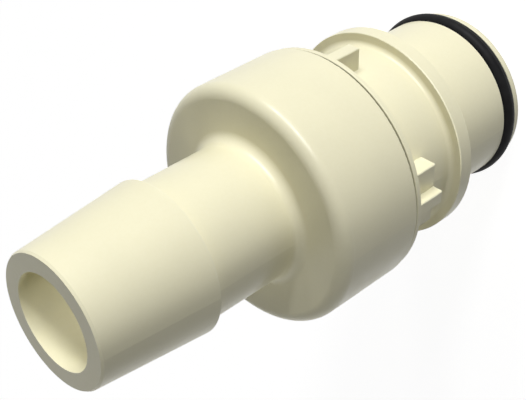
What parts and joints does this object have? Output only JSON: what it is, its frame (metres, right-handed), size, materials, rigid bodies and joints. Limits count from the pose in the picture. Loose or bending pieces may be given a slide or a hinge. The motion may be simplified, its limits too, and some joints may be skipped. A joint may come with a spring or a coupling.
{
  "type": "plastic quick disconnect coupling",
  "caption": "Plastic insert half of a quick disconnect coupling for tubing: hose barb, wide collar, latch ring, nose with a seal ring, and a spring-loaded shut-off valve inside.",
  "frame": {"origin": "centre of the nose end face, on which the part stands", "axes": "+Z along the flow axis, from the nose tip towards the hose barb; +X through the middle of one keying pad"},
  "size_m": [0.0352, 0.0352, 0.076],
  "materials": {
    "housing_plastic": "satin",
    "seal_rubber": "satin",
    "valve_plastic": "satin",
    "spring_steel": "drawn wire"
  },
  "bodies": {
    "housing": {"hose_barb_housing": "housing_plastic", "nose_housing": "housing_plastic", "nose_seal_ring": "seal_rubber", "valve_guide": "valve_plastic", "valve_spring": "spring_steel"},
    "valve": {"valve_poppet": "valve_plastic", "poppet_seal_ring": "seal_rubber"}
  },
  "joints": [
    {"name": "poppet_slide", "type": "slide", "parent": "housing", "child": "valve", "axis": [0, 0, 1], "range_m": [0, 0.005], "stiffness_N_per_m": 750, "springref_m": -0.004, "deforming": ["valve_spring"]}
  ]
}
